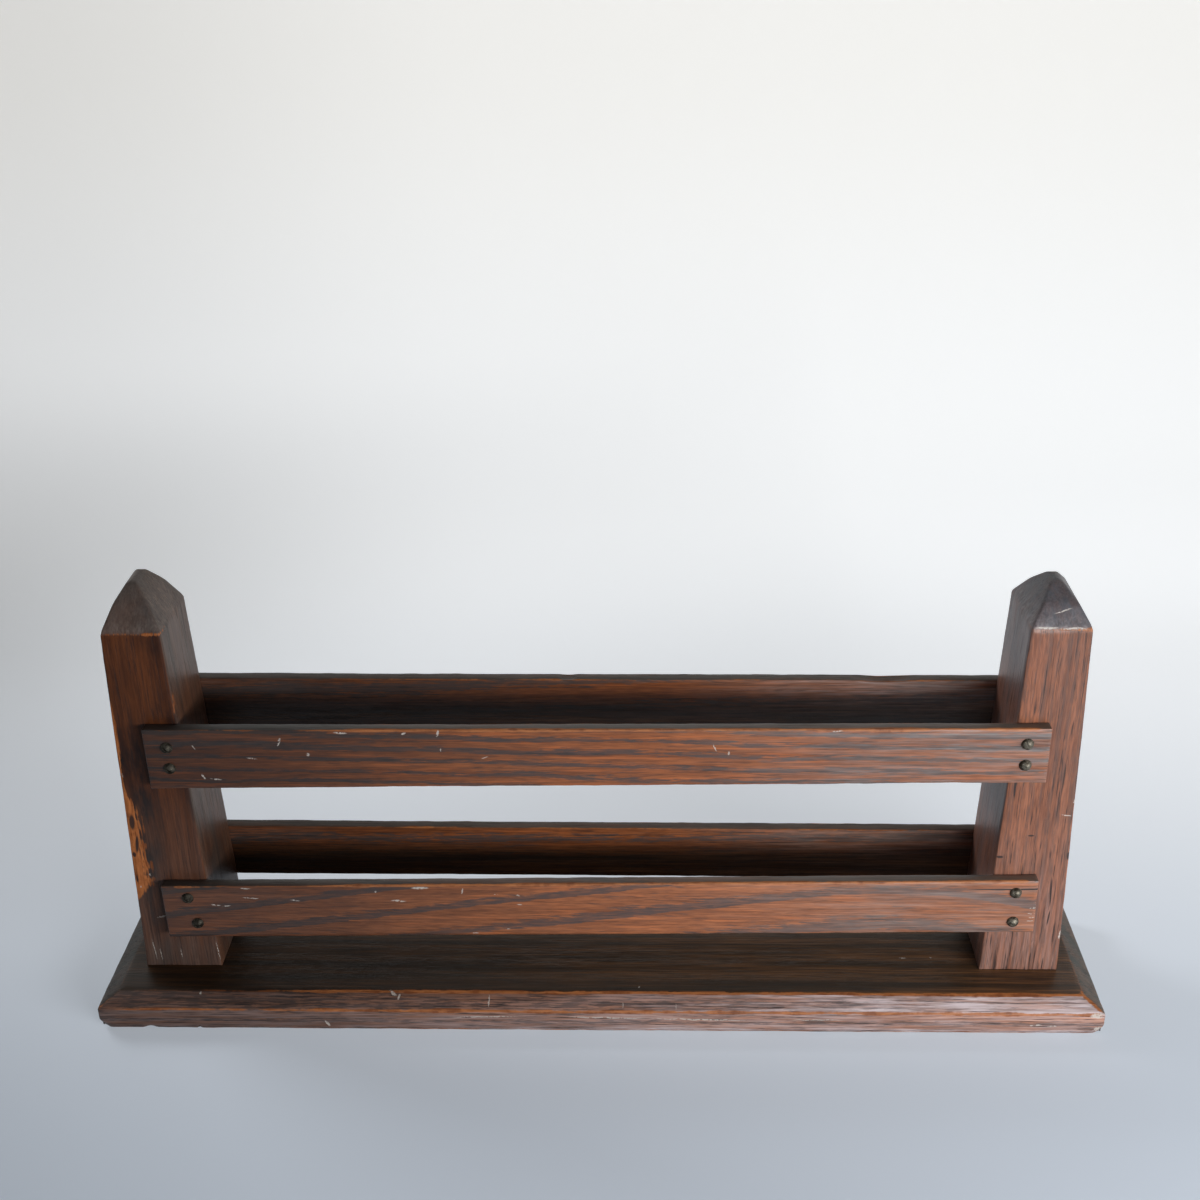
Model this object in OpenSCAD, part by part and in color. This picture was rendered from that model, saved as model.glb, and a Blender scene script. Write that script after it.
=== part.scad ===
// Oak book rack: a chamfered base board, two tapered posts with hipped tops,
// and two pairs of rails screwed across the posts to hold a row of books.
// The length runs along X, the front faces -Y, and Z = 0 is the face it rests on.

/* [Base board] */
// Length of the base board
base_l = 506; // [400:1:760]
// Depth of the base board, front to back
base_d = 90; // [84:1:160]
// Thickness of the base board
base_t = 17; // [13:0.5:26]
// Run of the chamfer round the top, measured inwards
chamfer_run = 9.5; // [3:0.5:11]
// Drop of the chamfer round the top, measured downwards
chamfer_drop = 4.5; // [2:0.5:9]

/* [Posts] */
// Width of a post at its foot
post_w = 40; // [32:0.5:60]
// Depth of a post at its foot
post_d = 48; // [42:0.5:58]
// Width of a post at its eave, where the hipped top starts
post_top_w = 28.5; // [20:0.5:38]
// Depth of a post at its eave
post_top_d = 42; // [34:0.5:48]
// Height of the left post's eave above the base board
post_h = 193; // [165:1:300]
// How much higher the right post's eave is, along the same taper
right_eave_rise = 2; // [-5:0.5:5]
// Rise of the left post's hipped top above its eave
left_roof_h = 21; // [8:0.5:40]
// Rise of the right post's hipped top above its eave
right_roof_h = 16.5; // [8:0.5:40]
// Length of the ridge, which runs front to back
ridge_l = 13.5; // [2:0.5:30]
// Gap from the end of the base board to the foot of a post
post_end_gap = 18; // [12:0.5:60]
// Gap from the back edge of the base board to the foot of a post
post_back_gap = 14; // [12:0.5:20]

/* [Rails] */
// Height of a rail
rail_h = 31.5; // [28:0.5:44]
// Thickness of a rail
rail_t = 6.4; // [4:0.2:9]
// How far an upper rail laps onto the post, from the post's inner edge
upper_lap = 16; // [14:0.5:22]
// How far a lower rail laps onto the post, from the post's inner edge
lower_lap = 22; // [14:0.5:28]
// Height of the front upper rail above the base board
front_upper_z = 114.5; // [95:0.5:145]
// Height of the front lower rail above the base board
front_lower_z = 26; // [8:0.5:55]
// Height of the back upper rail above the base board
back_upper_z = 113.5; // [95:0.5:145]
// Height of the back lower rail above the base board
back_lower_z = 22.5; // [8:0.5:55]
// How much taller the front upper rail is at its left end than at its right end
front_upper_flare = 3; // [0:0.5:5]
// How far the front upper rail is out of level, in degrees, right end up
front_upper_tilt = 0.35; // [-1:0.05:1]
// How far the front lower rail is out of level, in degrees, right end up
front_lower_tilt = 0.7; // [-1:0.05:1]
// How far the back upper rail is out of level, in degrees, right end up
back_upper_tilt = -0.2; // [-1:0.05:1]
// How far the back lower rail is out of level, in degrees, right end up
back_lower_tilt = -0.25; // [-1:0.05:1]

/* [Rail screws] */
// Distance from the end of a rail to its screws
rail_screw_end = 11; // [7:0.5:11.5]
// Distance from the top edge of an upper rail to its high screws
upper_high_edge = 9; // [5:0.5:10]
// Distance from the bottom edge of an upper rail to its low screws
upper_low_edge = 11; // [5:0.5:11.5]
// Distance from the long edge of a lower rail to a screw
lower_screw_edge = 7; // [5:0.5:10]
// How much further in the high screw is at the left end of the front lower rail
odd_high_in = 2; // [0:0.5:3]
// How much further in the low screw is there
odd_low_in = 5; // [0:0.5:6]
// How much further up the low screw is there
odd_low_up = 2; // [0:0.5:3]
// Diameter of the round head
rail_screw_head_d = 6; // [4.5:0.1:7.5]
// Height of the round head
rail_screw_head_h = 2.4; // [1.6:0.1:2.6]
// Diameter of the shank
rail_screw_d = 3.2; // [2.4:0.1:4]
// Length below the head
rail_screw_l = 16; // [13:0.5:19]

/* [Base screws] */
// Distance between the two screws under a post
base_screw_spacing = 24; // [14:0.5:30]
// Diameter of the countersunk head
base_screw_head_d = 8.4; // [6.5:0.1:10]
// Height of the countersunk head
base_screw_head_h = 2.4; // [1.8:0.1:3.2]
// Diameter of the shank
base_screw_d = 4.2; // [3.4:0.1:5]
// Length from the face of the head to the point
base_screw_l = 38; // [32:0.5:44]
// How far the head is sunk below the underside
base_screw_recess = 0.6; // [0.2:0.1:2]

/* [Screw details] */
// Width of a screwdriver slot
slot_w = 0.9; // [0.5:0.1:1.4]
// Depth of a screwdriver slot
slot_h = 1.1; // [0.6:0.1:1.5]
// Length of the tapered point of a screw
point_l = 5; // [3:0.5:8]
// Diameter of the very tip of a screw
tip_d = 0.8; // [0.4:0.1:1.4]
// Turn of the slot from one screw to the next, in degrees
slot_turn = 47; // [0:1:90]
// Clearance all round a screw in its hole
screw_clearance = 0.1; // [0.05:0.01:0.3]

/* [Hidden] */
$fn = 48;
// Cuts run this far past the face that they open
overrun = 1;
oak_board = "#3a2318";
oak_post = "#5a2f1e";
oak_rail = "#6a3a24";
dull_steel = "#4a463c";
post_x = base_l / 2 - post_end_gap - post_w / 2;
post_y = base_d / 2 - post_back_gap - post_d / 2;
face_lean = atan2((post_d - post_top_d) / 2, post_h);
// A rail is [name, side (-1 front, 1 back), height, tilt, lap, flare, high screw edge, low screw edge]
RAILS = [
    [
        "front_upper_rail", -1, front_upper_z, front_upper_tilt, upper_lap, front_upper_flare,
        upper_high_edge, upper_low_edge
    ],
    [
        "front_lower_rail", -1, front_lower_z, front_lower_tilt, lower_lap, 0,
        lower_screw_edge, lower_screw_edge
    ],
    ["back_upper_rail", 1, back_upper_z, back_upper_tilt, upper_lap, 0, upper_high_edge, upper_low_edge],
    ["back_lower_rail", 1, back_lower_z, back_lower_tilt, lower_lap, 0, lower_screw_edge, lower_screw_edge],
];
// Screws out of line with the others are [rail, end, level, how far in, how far up]
ODD_SCREWS = [
    ["front_lower_rail", -1, 1, odd_high_in, 0],
    ["front_lower_rail", -1, -1, odd_low_in, odd_low_up],
];
// A post is [name, end, height of its eave, rise of its top]
POSTS = [
    ["left_post", -1, post_h, left_roof_h],
    ["right_post", 1, post_h + right_eave_rise, right_roof_h],
];
// Ends along X, levels along Z and rows along Y, each with its name
ENDS = [["left", -1], ["right", 1]];
LEVELS = [["high", 1], ["low", -1]];
ROWS = [["front", -1], ["back", 1]];

function rail_side(rail) = rail[1];
function rail_tilt(rail) = rail[3];
function rail_flare(rail) = rail[5];
function rail_edge(rail, level) = level[1] > 0 ? rail[6] : rail[7];
function odd_places(rail, end, level) = [
    for (odd = ODD_SCREWS)
        if (odd[0] == rail[0] && odd[1] == end[1] && odd[2] == level[1]) [odd[3], odd[4]]
];
// How far in and up a screw is from its usual place
function odd_place(rail, end, level) = concat(odd_places(rail, end, level), [[0, 0]])[0];
// Height of a rail's middle, measured up the face of the post
function rail_mid(rail) = rail[2] + rail_h / 2;
// Half the width and half the depth of a post at a height above the base board
function post_half_w(z) = (post_w - (post_w - post_top_w) * z / post_h) / 2;
function post_half_d(z) = (post_d - (post_d - post_top_d) * z / post_h) / 2;
function rail_half_l(rail) = post_x - post_half_w(rail_mid(rail)) + rail[4];
function rail_screw_name(rail, end, level) = str(rail[0], "_screw_", end[0], "_", level[0]);
function base_screw_name(post, row) = str(post[0], "_screw_", row[0]);
// Slots stand at odd angles, as they stop when each screw is tight
function rail_slot_angle(rail, end, level) =
    slot_turn * (rail_side(rail) + 2 * end[1] + 4 * level[1] + rail_mid(rail));

// The solid that has one outline seen from the front and another seen from the side
module crossed_outlines(front, side, width, depth) {
    intersection() {
        rotate([90, 0, 0])
            linear_extrude(depth + 2 * overrun, center = true)
                polygon(front);
        rotate([90, 0, 90])
            linear_extrude(width + 2 * overrun, center = true)
                polygon(side);
    }
}

// Outline of a board that is chamfered along both top edges
function chamfered(width) = [
    [-width / 2, 0],
    [width / 2, 0],
    [width / 2, base_t - chamfer_drop],
    [width / 2 - chamfer_run, base_t],
    [chamfer_run - width / 2, base_t],
    [-width / 2, base_t - chamfer_drop],
];

// Outline of a post that tapers to its eave and again to its ridge, or to a peak where ridge is 0
function tapered(foot, half_eave, ridge, eave_z, roof) = [
    [-foot / 2, 0],
    [foot / 2, 0],
    [half_eave, eave_z],
    [ridge / 2, eave_z + roof],
    [-ridge / 2, eave_z + roof],
    [-half_eave, eave_z],
];

// Puts a shape on the front (side -1) or back (side 1) faces of the posts, with -Y out of the face
module on_face(side) {
    translate([0, post_y, base_t])
        mirror([0, max(side, 0), 0])
            translate([0, -post_d / 2, 0])
                rotate([-face_lean, 0, 0])
                    children();
}

// Puts a shape at the middle of a rail's inner face
module on_rail(rail) {
    on_face(rail_side(rail))
        translate([0, 0, rail_mid(rail)])
            rotate([0, -rail_tilt(rail), 0])
                children();
}

// Puts a shape where a rail's screw goes in, with +Z into the wood
module at_rail_screw(rail, end, level) {
    on_rail(rail)
        translate([
            end[1] * (rail_half_l(rail) - rail_screw_end - odd_place(rail, end, level)[0]),
            -rail_t,
            level[1] * (rail_h / 2 - rail_edge(rail, level)) + odd_place(rail, end, level)[1],
        ])
            rotate([-90, 0, 0])
                children();
}

// Puts a shape where a base screw goes in, with +Z up into the post
module at_base_screw(post, row) {
    translate([post[1] * post_x, post_y + row[1] * base_screw_spacing / 2, 0])
        children();
}

// A shank with a tapered point, from below start to length
module shank(d, start, length) {
    translate([0, 0, start])
        cylinder(h = length - point_l - start, d = d);
    translate([0, 0, length - point_l])
        cylinder(h = point_l, d1 = d, d2 = tip_d);
}

module slot_cut(head_d, face_z, angle) {
    rotate(angle)
        translate([-head_d, -slot_w / 2, face_z - overrun])
            cube([2 * head_d, slot_w, slot_h + overrun]);
}

module rail_screw(rail, end, level) {
    ball_r = (pow(rail_screw_head_d / 2, 2) + pow(rail_screw_head_h, 2)) / (2 * rail_screw_head_h);
    color(dull_steel)
        at_rail_screw(rail, end, level)
            difference() {
                union() {
                    intersection() {
                        translate([0, 0, ball_r - rail_screw_head_h])
                            sphere(ball_r);
                        translate([-ball_r, -ball_r, -rail_screw_head_h])
                            cube([2 * ball_r, 2 * ball_r, rail_screw_head_h]);
                    }
                    shank(rail_screw_d, slot_h - rail_screw_head_h, rail_screw_l);
                }
                slot_cut(rail_screw_head_d, -rail_screw_head_h, rail_slot_angle(rail, end, level));
            }
}

module rail_screw_hole(rail, end, level) {
    at_rail_screw(rail, end, level)
        translate([0, 0, -overrun])
            cylinder(h = rail_screw_l + screw_clearance + overrun, d = rail_screw_d + 2 * screw_clearance);
}

module base_screw(post, row) {
    color(dull_steel)
        at_base_screw(post, row)
            translate([0, 0, base_screw_recess])
                difference() {
                    union() {
                        cylinder(h = base_screw_head_h, d1 = base_screw_head_d, d2 = base_screw_d);
                        shank(base_screw_d, base_screw_head_h, base_screw_l);
                    }
                    slot_cut(base_screw_head_d, 0, slot_turn * (post[1] + 2 * row[1]));
                }
}

module base_screw_hole(post, row) {
    hole_d = base_screw_d + 2 * screw_clearance;
    mouth_d = base_screw_head_d + 2 * screw_clearance;
    at_base_screw(post, row) {
        translate([0, 0, -overrun])
            cylinder(h = base_screw_recess + overrun, d = mouth_d);
        translate([0, 0, base_screw_recess])
            cylinder(h = base_screw_head_h, d1 = mouth_d, d2 = hole_d);
        translate([0, 0, base_screw_recess])
            cylinder(h = base_screw_l + screw_clearance, d = hole_d);
    }
}

module base_board() {
    color(oak_board)
        difference() {
            crossed_outlines(chamfered(base_l), chamfered(base_d), base_l, base_d);
            for (post = POSTS, row = ROWS) base_screw_hole(post, row);
        }
}

// A post stands for the end of the rails that it carries
module post(which) {
    color(oak_post)
        difference() {
            translate([which[1] * post_x, post_y, base_t])
                crossed_outlines(
                    tapered(post_w, post_half_w(which[2]), 0, which[2], which[3]),
                    tapered(post_d, post_half_d(which[2]), ridge_l, which[2], which[3]),
                    post_w,
                    post_d
                );
            for (rail = RAILS, level = LEVELS) rail_screw_hole(rail, which, level);
            for (row = ROWS) base_screw_hole(which, row);
        }
}

module rail(which) {
    half_l = rail_half_l(which);
    left_h = rail_h + rail_flare(which) / 2;
    right_h = rail_h - rail_flare(which) / 2;
    color(oak_rail)
        difference() {
            on_rail(which)
                rotate([90, 0, 0])
                    linear_extrude(rail_t)
                        polygon([
                            [-half_l, -left_h / 2],
                            [half_l, -right_h / 2],
                            [half_l, right_h / 2],
                            [-half_l, left_h / 2],
                        ]);
            for (end = ENDS, level = LEVELS) rail_screw_hole(which, end, level);
        }
}

base_board();
for (which = POSTS)
    post(which);
for (which = RAILS)
    rail(which);
for (which = RAILS, end = ENDS, level = LEVELS)
    rail_screw(which, end, level);
for (which = POSTS, row = ROWS)
    base_screw(which, row);
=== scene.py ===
"""Oak book stand: a chamfered base board, two tapered posts with hipped tops, and four screwed-on rails."""

import math
from collections import namedtuple

import bmesh
import bpy
import numpy as np
from bpy.props import FloatProperty, FloatVectorProperty, PointerProperty
from mathutils import Matrix, Vector


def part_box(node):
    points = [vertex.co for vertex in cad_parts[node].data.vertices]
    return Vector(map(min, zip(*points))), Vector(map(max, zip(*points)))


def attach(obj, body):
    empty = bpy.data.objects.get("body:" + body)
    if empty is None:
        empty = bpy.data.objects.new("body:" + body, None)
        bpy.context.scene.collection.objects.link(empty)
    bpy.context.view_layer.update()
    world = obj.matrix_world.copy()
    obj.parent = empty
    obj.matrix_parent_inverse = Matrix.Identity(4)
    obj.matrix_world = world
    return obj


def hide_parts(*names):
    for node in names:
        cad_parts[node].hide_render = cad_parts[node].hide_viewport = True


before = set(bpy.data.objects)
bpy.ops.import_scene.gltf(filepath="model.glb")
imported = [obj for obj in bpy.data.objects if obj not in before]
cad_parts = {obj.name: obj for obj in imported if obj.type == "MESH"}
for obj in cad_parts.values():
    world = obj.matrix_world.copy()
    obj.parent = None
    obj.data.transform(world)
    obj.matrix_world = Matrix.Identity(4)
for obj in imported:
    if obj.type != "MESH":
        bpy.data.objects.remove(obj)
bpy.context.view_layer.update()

bl_info = {
    "name": "Oak Book Stand",
    "version": (1, 0, 0),
    "blender": (4, 5, 0),
    "location": "View3D > Sidebar > Book Stand",
    "description": "Makes a worn oak book stand piece by piece, with its stage",
    "category": "Add Mesh",
}

BASE_LOW, BASE_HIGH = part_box("base_board")
BASE_SIZE = BASE_HIGH - BASE_LOW

# Low is a rail's height above the base board, tilt is in degrees, lap is its reach past a post's inner side,
# flare is how much taller its left end is, and the last two say how far its screws are from its edges
Rail = namedtuple("Rail", "name side low tilt lap flare above_high below_low")
RAILS = (
    Rail("front_upper_rail", -1, 0.1145, 0.35, 0.016, 0.003, 0.009, 0.011),
    Rail("front_lower_rail", -1, 0.0260, 0.70, 0.022, 0.000, 0.007, 0.007),
    Rail("back_upper_rail", 1, 0.1135, -0.20, 0.016, 0.000, 0.009, 0.011),
    Rail("back_lower_rail", 1, 0.0225, -0.25, 0.022, 0.000, 0.007, 0.007),
)
# Screws out of line with the others: how far in, and how far up
ODD_SCREWS = {
    "front_lower_rail_screw_left_high": (0.002, 0.000),
    "front_lower_rail_screw_left_low": (0.005, 0.002),
}
POSTS = (("left_post", -1), ("right_post", 1))
ENDS = (("left", -1), ("right", 1))
LEVELS = (("high", 1), ("low", -1))
ROWS = (("front", -1), ("back", 1))

BASE_SCREW_SPREAD = 0.012  # from the middle of a post to each of its two base screws
BASE_SCREW_SINK = 0.0006  # how far the heads of the base screws are sunk into the underside
RAIL_SCREW_INSET = 0.011  # from the end of a rail to its screws
SLOT_TURN = 47  # degrees between the slots of neighbouring screws
LAMP_AIM = (0.05, 0.0, 0.09)  # the place on the stand that the lamps look at
TURNED_STEPS = 40  # faces round a turned piece

BARE_REACH = 0.0034  # how far the stain is rubbed off on either side of an edge
WORN_REACH = 0.0022  # how far the wood itself is worn down there
WORN_GRAIN = 0.012  # size of the worn and the kept places along an edge
HAND_WAVE = 0.0004  # how far the planed sides are out of flat
HAND_WAVE_GRAIN = 0.070  # length of those waves
DENT_DEPTH = 0.004  # the deepest a dent can be
SLIVER = 0.000006  # points nearer than this are merged where holes were drilled
TURNED_SLIVER = 0.000002  # and where a turned piece closes on itself


# How the wood of each piece grew and took its stain. The pith is beside it, rise bends the rings along it,
# and dim is (left place, right place, value at the left, value at the right): a darkening towards the left,
# partly darker wood and partly painted shade, which on the base board also lightens the right as painted
# light.
WOODS = {
    "base_board": {
        "ring": 0.0052, "duty": 0.6, "uneven": 1.2, "band": 0.85, "pore": 0.80, "patch": 0.45,
        "dark": (0.062, 0.045, 0.041), "haze": (0.60, 0.52, 0.54), "dull": (0.046, 0.055, 0.051),
        "dim": (-0.24, 0.20, 0.42, 1.25), "flame": 0.30, "gloss": 0.30, "seed": 11.0,
    },
    "left_post": {
        "grain": 2, "pith": (-0.31, 0.05), "ring": 0.007, "wave": 0.008, "band": 0.28, "pore": 0.60,
        "patch": 1.4, "dark": (0.016, 0.008, 0.007), "dull": (0.120, 0.102, 0.090),
        "bare": (0.580, 0.200, 0.062), "torn": 1.3, "flame": 0.15, "gloss": 0.20, "sharp": 0.6,
        "seed": 3.0,
    },
    "right_post": {
        "grain": 2, "pith": (0.32, 0.06), "ring": 0.0040, "uneven": 1.6, "band": 0.48, "pore": 0.85,
        "patch": 0.30, "dark": (0.085, 0.062, 0.056), "dull": (0.070, 0.082, 0.098),
        "haze": (0.42, 0.38, 0.39), "flame": 0.14, "gloss": 0.42, "seed": 8.0,
    },
    "front_upper_rail": {
        "pith": (-0.12, 0.05), "rise": (-0.019, 0.0, 0.0), "ring": 0.0062, "shift": 0.16, "wave": 0.008,
        "duty": 0.50, "crisp": 0.25, "ragged": 0.85, "patch": 0.20, "dark": (0.058, 0.051, 0.050),
        "haze": (0.37, 0.36, 0.36), "veil": (0.66, 1.0), "dim": (-0.20, 0.02, 0.27, 1.0),
        "flame": 0.50, "seed": 1.0,
    },
    "front_lower_rail": {
        "pith": (0.0, 0.0574), "rise": (0.135, 1.6, 0.100), "ring": 0.0098, "shift": -0.735,
        "uneven": 0.10, "wave": 0.003, "duty": 0.30, "crisp": 0.05, "ragged": 0.90, "pore": 0.30,
        "patch": 0.15, "dark": (0.080, 0.066, 0.065), "veil": (0.75, 1.0),
        "dim": (-0.20, 0.06, 0.33, 1.0), "flame": 0.40, "seed": 2.0,
    },
    "back_upper_rail": {
        "pith": (0.03, -0.06), "rise": (0.03, 0.0, 0.0), "ring": 0.0110, "wave": 0.014,
        "haze": (0.42, 0.40, 0.40), "dim": (-0.22, 0.16, 0.45, 1.0), "flame": 0.40, "gloss": 0.28,
        "seed": 5.0,
    },
    "back_lower_rail": {
        "pith": (-0.05, -0.05), "ring": 0.0080, "wave": 0.012, "dim": (-0.22, 0.02, 0.5, 1.0),
        "flame": 0.40, "gloss": 0.15, "seed": 7.0,
    },
}


def rail_marks(face, *rows):
    """Marks on a rail's front face. A row is (along, up, half length, half height, turn in degrees)."""
    return tuple(((x, face, z), (long, 0.004, high), turn) for x, z, long, high, turn in rows)


# Nicks, splits and stains, where they show most: each is (place, half sizes, turn in degrees)
UPPER_NICKS = rail_marks(
    -0.021,
    (-0.1907, 0.1528, 0.0006, 0.0018, -25),
    (-0.1880, 0.1367, 0.0008, 0.0022, -30),
    (-0.1820, 0.1354, 0.0034, 0.0006, 3),
    (-0.1494, 0.1562, 0.0008, 0.0030, 20),
    (-0.1634, 0.1470, 0.0032, 0.0006, 8),
    (-0.1362, 0.1491, 0.0010, 0.0010, 0),
    (-0.1198, 0.1612, 0.0040, 0.0008, 2),
    (-0.0896, 0.1608, 0.0014, 0.0009, -20),
    (-0.0735, 0.1606, 0.0010, 0.0022, 15),
    (-0.0726, 0.1518, 0.0006, 0.0012, 0),
    (-0.0518, 0.1474, 0.0024, 0.0004, -18),
    (0.0575, 0.1529, 0.0006, 0.0026, -22),
    (0.0642, 0.1499, 0.0007, 0.0014, 10),
    (0.1149, 0.1622, 0.0030, 0.0006, 0),
)
LOWER_NICKS = rail_marks(
    -0.023,
    (-0.1920, 0.0608, 0.0036, 0.0008, 10),
    (-0.1863, 0.0602, 0.0028, 0.0006, -14),
    (-0.1733, 0.0652, 0.0050, 0.0006, 4),
    (-0.1753, 0.0709, 0.0034, 0.0006, 0),
    (-0.0989, 0.0640, 0.0046, 0.0010, 2),
    (-0.0878, 0.0715, 0.0055, 0.0012, 2),
    (-0.1512, 0.0641, 0.0030, 0.0006, 5),
    (-0.1101, 0.0694, 0.0008, 0.0010, 0),
    (-0.0666, 0.0696, 0.0006, 0.0020, 8),
    (-0.0499, 0.0680, 0.0012, 0.0005, 0),
    (-0.0389, 0.0671, 0.0012, 0.0008, 30),
    (-0.0382, 0.0619, 0.0016, 0.0005, 0),
    (-0.0616, 0.0440, 0.0030, 0.0005, 0),
    (-0.0448, 0.0467, 0.0016, 0.0006, 0),
    (0.2166, 0.0608, 0.0022, 0.0007, 0),
    (0.2164, 0.0576, 0.0024, 0.0006, 4),
    (0.2162, 0.0552, 0.0022, 0.0006, -4),
    (0.2160, 0.0530, 0.0022, 0.0005, 0),
)
LOWER_SPLITS = rail_marks(
    -0.0225,
    (0.2040, 0.0720, 0.0260, 0.0007, 0),
    (0.2160, 0.0722, 0.0100, 0.0010, 0),
)
LEFT_POST_NICKS = (
    ((-0.2225, -0.0165, 0.0486), (0.0036, 0.004, 0.0009), -14),
    ((-0.2250, -0.0161, 0.0743), (0.0006, 0.004, 0.0008), 0),
    ((-0.2307, -0.0162, 0.0669), (0.0009, 0.004, 0.0010), 0),
    ((-0.2301, -0.0152, 0.1330), (0.0006, 0.004, 0.0016), -10),
    ((-0.2292, -0.0168, 0.0275), (0.0003, 0.004, 0.0080), -5),
    ((-0.2262, -0.0169, 0.0245), (0.0002, 0.004, 0.0050), -4),
    ((-0.2155, -0.0169, 0.0250), (0.0002, 0.004, 0.0040), -3),
    ((-0.1962, -0.0169, 0.0270), (0.0003, 0.004, 0.0070), -5),
)
LEFT_POST_STAINS = (
    ((-0.2294, -0.0156, 0.1060), (0.0026, 0.004, 0.0060), 5),
    ((-0.2288, -0.0158, 0.0930), (0.0016, 0.004, 0.0070), 8),
    ((-0.2312, -0.0159, 0.0867), (0.0018, 0.004, 0.0020), 0),
    ((-0.2262, -0.0158, 0.0990), (0.0010, 0.004, 0.0040), 0),
    ((-0.2318, -0.0161, 0.0720), (0.0010, 0.004, 0.0030), 0),
)
RIGHT_POST_NICKS = (
    ((0.2338, -0.0167, 0.0395), (0.0012, 0.004, 0.0030), 4),
    ((0.2316, -0.0154, 0.1192), (0.0009, 0.004, 0.0016), 0),
    ((0.2289, -0.0155, 0.1112), (0.0030, 0.004, 0.0005), 12),
    ((0.2150, -0.0070, 0.2190), (0.0066, 0.006, 0.0006), -14),
    ((0.2080, -0.0140, 0.2124), (0.0070, 0.005, 0.0009), 0),
    ((0.2200, -0.0140, 0.2122), (0.0080, 0.005, 0.0008), 0),
)
RIGHT_POST_SPLITS = (
    ((0.2022, -0.0153, 0.1258), (0.0010, 0.004, 0.0060), -3),
    ((0.2129, -0.0157, 0.0994), (0.0020, 0.004, 0.0010), 0),
    ((0.1990, -0.0159, 0.0868), (0.0022, 0.004, 0.0014), 0),
    ((0.2262, -0.0162, 0.0660), (0.0009, 0.004, 0.0110), -4),
    ((0.2268, -0.0166, 0.0500), (0.0008, 0.004, 0.0060), 4),
    ((0.2322, -0.0159, 0.0875), (0.0012, 0.004, 0.0030), 0),
)
BASE_NICKS = (
    ((-0.1361, -0.0450, 0.0040), (0.0012, 0.004, 0.0028), -30),
    ((-0.1034, -0.0365, 0.0165), (0.0034, 0.004, 0.0005), 10),
    ((-0.1000, -0.0383, 0.0157), (0.0010, 0.003, 0.0020), 30),
    ((-0.2015, -0.0370, 0.0163), (0.0008, 0.002, 0.0010), 0),
    ((-0.0543, -0.0400, 0.0150), (0.0006, 0.006, 0.0040), 0),
    ((0.0132, -0.0416, 0.0141), (0.0005, 0.003, 0.0016), 0),
    ((0.0398, -0.0424, 0.0137), (0.0005, 0.003, 0.0016), 0),
    ((0.0214, -0.0315, 0.0170), (0.0009, 0.001, 0.0020), 0),
    ((0.1574, -0.0081, 0.0170), (0.0026, 0.0008, 0.0020), 0),
    ((0.1722, -0.0077, 0.0170), (0.0008, 0.0008, 0.0020), 0),
    ((0.0050, -0.0450, 0.0088), (0.0240, 0.004, 0.0007), 1),
    ((0.0520, -0.0450, 0.0080), (0.0300, 0.004, 0.0007), 1),
    ((0.1100, -0.0450, 0.0082), (0.0160, 0.004, 0.0005), 0),
    ((0.2190, -0.0450, 0.0056), (0.0038, 0.004, 0.0009), 2),
    ((0.2272, -0.0450, 0.0050), (0.0030, 0.004, 0.0008), 0),
    ((0.2505, -0.0445, 0.0030), (0.0036, 0.004, 0.0028), 0),
    ((0.2490, -0.0440, 0.0116), (0.0046, 0.005, 0.0026), 0),
    ((-0.0560, -0.0450, 0.0088), (0.0200, 0.004, 0.0006), -1),
)


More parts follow.
